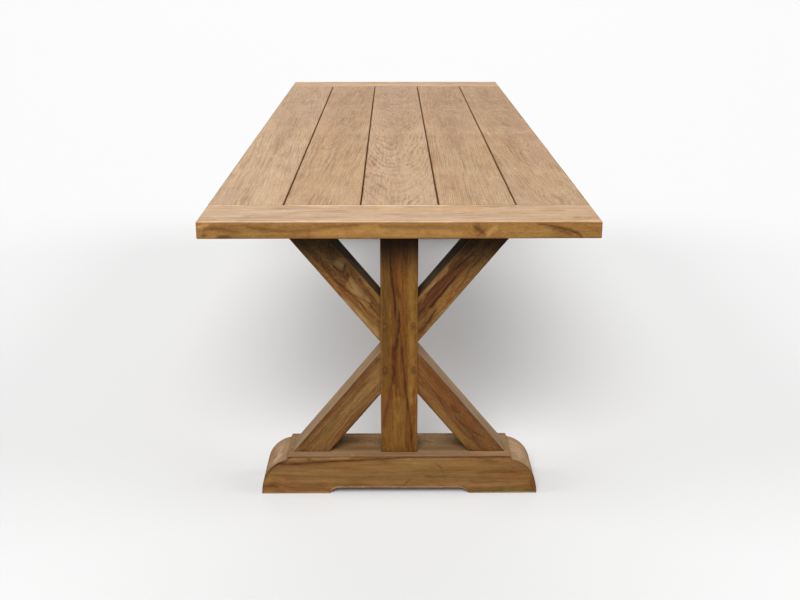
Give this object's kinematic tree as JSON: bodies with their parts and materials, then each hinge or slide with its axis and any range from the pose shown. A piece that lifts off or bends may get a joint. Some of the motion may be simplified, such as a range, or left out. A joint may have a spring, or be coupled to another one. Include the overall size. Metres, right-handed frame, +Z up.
{
  "type": "sawbuck dining table",
  "caption": "Long dining table in weathered teak: boards in breadboard ends on trestles, each a shaped foot, a square post and pegged slanting struts, tied by a stretcher.",
  "frame": {"origin": "on the floor, under the middle of the top", "axes": "+X across the table, +Y along it away from the near end, +Z up"},
  "size_m": [1, 3, 0.76],
  "materials": {
    "top_boards": "weathered, bare, fine open grain along the board",
    "breadboards": "weathered, bare, grain along the piece, worn arris",
    "trestle_timbers": "bare teak with dark heartwood streaks, softened edges",
    "under_timbers": "sawn and planed, bare, never weathered",
    "pegs": "riven pegs, end grain showing, darker than the timber",
    "coach_screws": "dull zinc"
  },
  "bodies": {
    "root": {"batten_far": "under_timbers", "batten_middle": "under_timbers", "batten_near": "under_timbers", "bearer_far": "under_timbers", "bearer_near": "under_timbers", "bearer_screws_far": "coach_screws", "bearer_screws_near": "coach_screws", "board_spline_1": "under_timbers", "board_spline_2": "under_timbers", "board_spline_3": "under_timbers", "board_spline_4": "under_timbers", "breadboard_far": "breadboards", "breadboard_near": "breadboards", "breadboard_pegs_far": "pegs", "breadboard_pegs_near": "pegs", "foot_far": "trestle_timbers", "foot_near": "trestle_timbers", "foot_peg_far": "pegs", "foot_peg_near": "pegs", "lower_strut_left_far": "trestle_timbers", "lower_strut_left_near": "trestle_timbers", "lower_strut_right_far": "trestle_timbers", "lower_strut_right_near": "trestle_timbers", "post_far": "trestle_timbers", "post_near": "trestle_timbers", "stretcher": "trestle_timbers", "stretcher_peg_far": "pegs", "stretcher_peg_near": "pegs", "strut_pegs_far": "pegs", "strut_pegs_near": "pegs", "top_board_1": "top_boards", "top_board_2": "top_boards", "top_board_3": "top_boards", "top_board_4": "top_boards", "top_board_5": "top_boards", "upper_strut_left_far": "trestle_timbers", "upper_strut_left_near": "trestle_timbers", "upper_strut_right_far": "trestle_timbers", "upper_strut_right_near": "trestle_timbers"}
  },
  "joints": []
}
